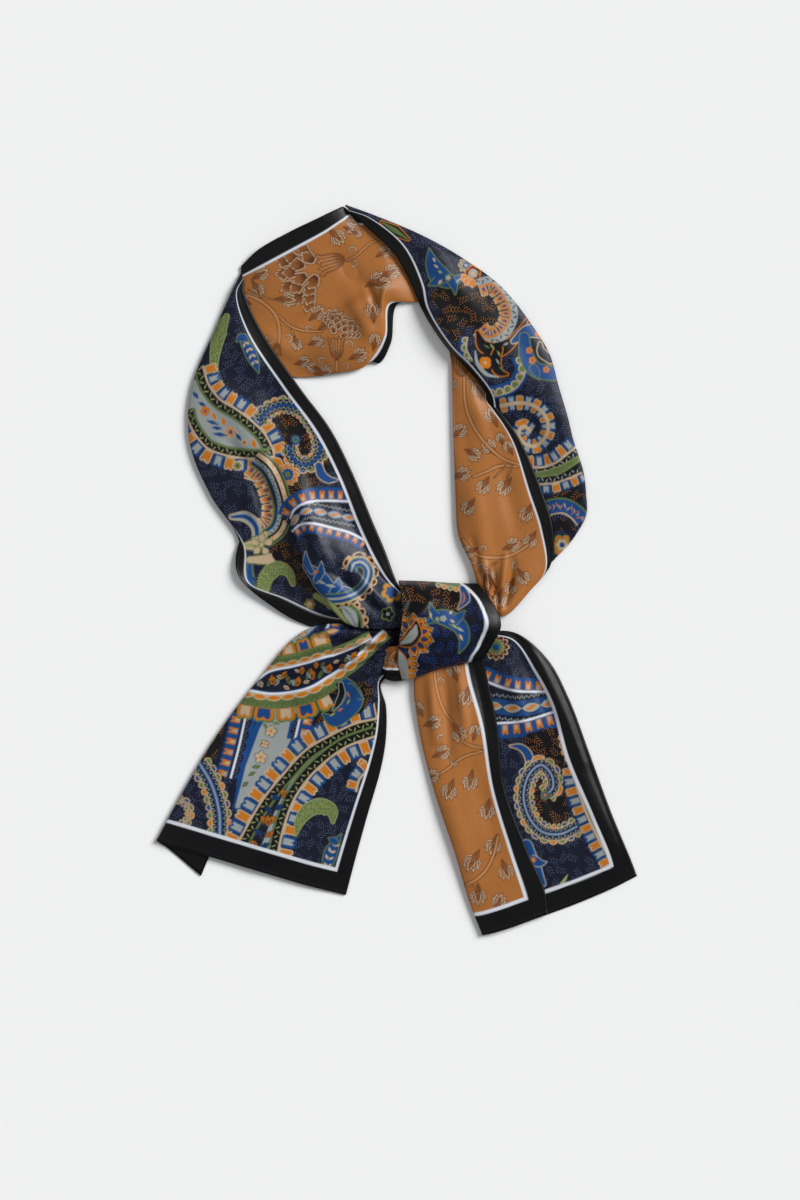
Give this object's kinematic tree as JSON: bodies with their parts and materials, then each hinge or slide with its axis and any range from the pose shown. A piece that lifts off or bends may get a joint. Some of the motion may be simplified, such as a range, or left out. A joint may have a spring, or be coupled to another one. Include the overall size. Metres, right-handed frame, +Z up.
{
  "type": "silk cravat scarf, laid flat and knotted",
  "caption": "Double-faced silk ribbon scarf, navy paisley and ochre floral with black borders, laid flat in a neck loop and knotted in front, with spread tails.",
  "frame": {"origin": "centre of the laid-out scarf's outline, on the surface that it lies on", "axes": "+Z up from the surface, +Y from the knot towards the back of the neck loop, +X towards the ochre tail's side"},
  "size_m": [0.3205, 0.4871, 0.0215],
  "materials": {
    "navy_silk": "silk twill, navy paisley print with a black border and a thin white line, soft satin sheen",
    "ochre_silk": "silk twill, ochre thistle print with a black border and a thin white line, soft satin sheen"
  },
  "bodies": {
    "root": {"left_tail": "navy_silk", "left_side": "navy_silk", "collar": "ochre_silk", "right_side_navy": "navy_silk", "right_side_ochre": "ochre_silk", "knot_band": "navy_silk", "knot_core": "navy_silk", "right_tail_ochre": "ochre_silk", "right_tail_navy": "navy_silk"}
  },
  "joints": []
}
